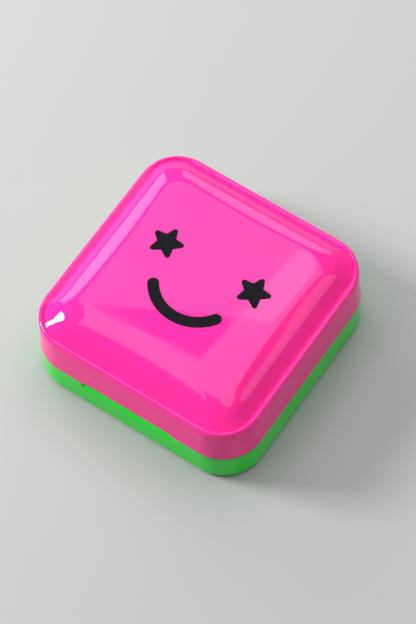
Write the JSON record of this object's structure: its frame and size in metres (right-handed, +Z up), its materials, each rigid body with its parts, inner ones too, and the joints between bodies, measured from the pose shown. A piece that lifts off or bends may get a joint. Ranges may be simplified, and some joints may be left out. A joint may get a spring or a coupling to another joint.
{
  "type": "contact lens case",
  "caption": "Square two-colour travel case with a hinged lid and mirror, holding a twin screw-cap lens case, solution bottle, tweezers and applicator stick.",
  "frame": {"origin": "centre of the resting face under the case", "axes": "+Z up out of the lid, +Y towards the hinge, +X to the right seen from the thumb notch at -Y"},
  "size_m": [0.07, 0.0741, 0.0294],
  "materials": {
    "green_abs": "high gloss",
    "pink_abs": "high gloss",
    "black_ink": "satin print",
    "white_pp": "satin",
    "steel": "turned",
    "mirror_silver": "polished",
    "foam_tape": "matt foam",
    "clear_pe": "translucent moulded",
    "white_cap": "semi gloss",
    "pink_pp": "semi gloss",
    "green_pp": "semi gloss",
    "silicone": "soft satin"
  },
  "bodies": {
    "base": {"base_shell": "green_abs", "inner_tray": "white_pp", "hinge_pins": "steel"},
    "lid": {"lid_shell": "pink_abs", "left_star_print": "black_ink", "right_star_print": "black_ink", "smile_print": "black_ink", "mirror_tape": "foam_tape", "mirror_glass": "mirror_silver", "mirror_bezel": "white_cap"},
    "lens_case": {"lens_well_body": "white_cap"},
    "left_seal": {"left_cap_liner": "silicone"},
    "left_cap": {"left_screw_cap": "pink_pp"},
    "right_seal": {"right_cap_liner": "silicone"},
    "right_cap": {"right_screw_cap": "green_pp"},
    "bottle": {"bottle_body": "clear_pe", "bottle_nozzle": "white_cap"},
    "bottle_seal": {"bottle_cap_seal": "silicone"},
    "bottle_top": {"bottle_cap": "pink_pp"},
    "tweezers": {"tweezers_heel_arm": "pink_pp", "heel_arm_tip": "silicone"},
    "tweezers_arm": {"tweezers_free_arm": "pink_pp", "free_arm_tip": "silicone"},
    "stick": {"applicator_stick": "green_pp", "applicator_sucker": "silicone"}
  },
  "joints": [
    {"name": "lid_hinge", "type": "hinge", "parent": "base", "child": "lid", "pos_m": [0, 0.0372, 0.011], "axis": [-1, 0, 0], "range_deg": [0, 115]},
    {"name": "lens_case_lift", "type": "slide", "parent": "base", "child": "lens_case", "axis": [0, 0, 1], "range_m": [0, 0.0025]},
    {"name": "left_cap_rise", "type": "slide", "parent": "lens_case", "child": "left_seal", "axis": [0, 0, 1], "range_m": [0, 0.0025]},
    {"name": "left_cap_turn", "type": "hinge", "parent": "left_seal", "child": "left_cap", "pos_m": [-0.0142, -0.0171, 0.015], "axis": [0, 0, 1], "range_deg": [0, 360]},
    {"name": "right_cap_rise", "type": "slide", "parent": "lens_case", "child": "right_seal", "axis": [0, 0, 1], "range_m": [0, 0.0025]},
    {"name": "right_cap_turn", "type": "hinge", "parent": "right_seal", "child": "right_cap", "pos_m": [0.0142, -0.0171, 0.015], "axis": [0, 0, 1], "range_deg": [0, 360]},
    {"name": "bottle_lift", "type": "slide", "parent": "base", "child": "bottle", "axis": [0, 0, 1], "range_m": [0, 0.004]},
    {"name": "bottle_cap_rise", "type": "slide", "parent": "bottle", "child": "bottle_seal", "axis": [1, 0, 0], "range_m": [0, 0.002]},
    {"name": "bottle_cap_turn", "type": "hinge", "parent": "bottle_seal", "child": "bottle_top", "pos_m": [0.018, 0.0216, 0.0109], "axis": [1, 0, 0], "range_deg": [0, 360]},
    {"name": "tweezers_lift", "type": "slide", "parent": "base", "child": "tweezers", "axis": [0, 0, 1], "range_m": [0, 0.01]},
    {"name": "tweezers_squeeze", "type": "hinge", "parent": "tweezers", "child": "tweezers_arm", "pos_m": [-0.0206, 0.00795, 0.0082], "axis": [0, 0, -1], "range_deg": [0, 3.2], "stiffness_Nm_per_rad": 0.05},
    {"name": "stick_lift", "type": "slide", "parent": "base", "child": "stick", "axis": [0, 0, 1], "range_m": [0, 0.01]}
  ],
  "couplings": [
    {"joint": "left_cap_turn", "follows": "left_cap_rise", "rad_per_m": 2513.3},
    {"joint": "right_cap_turn", "follows": "right_cap_rise", "rad_per_m": 2513.3},
    {"joint": "bottle_cap_turn", "follows": "bottle_cap_rise", "rad_per_m": 3141.6}
  ]
}
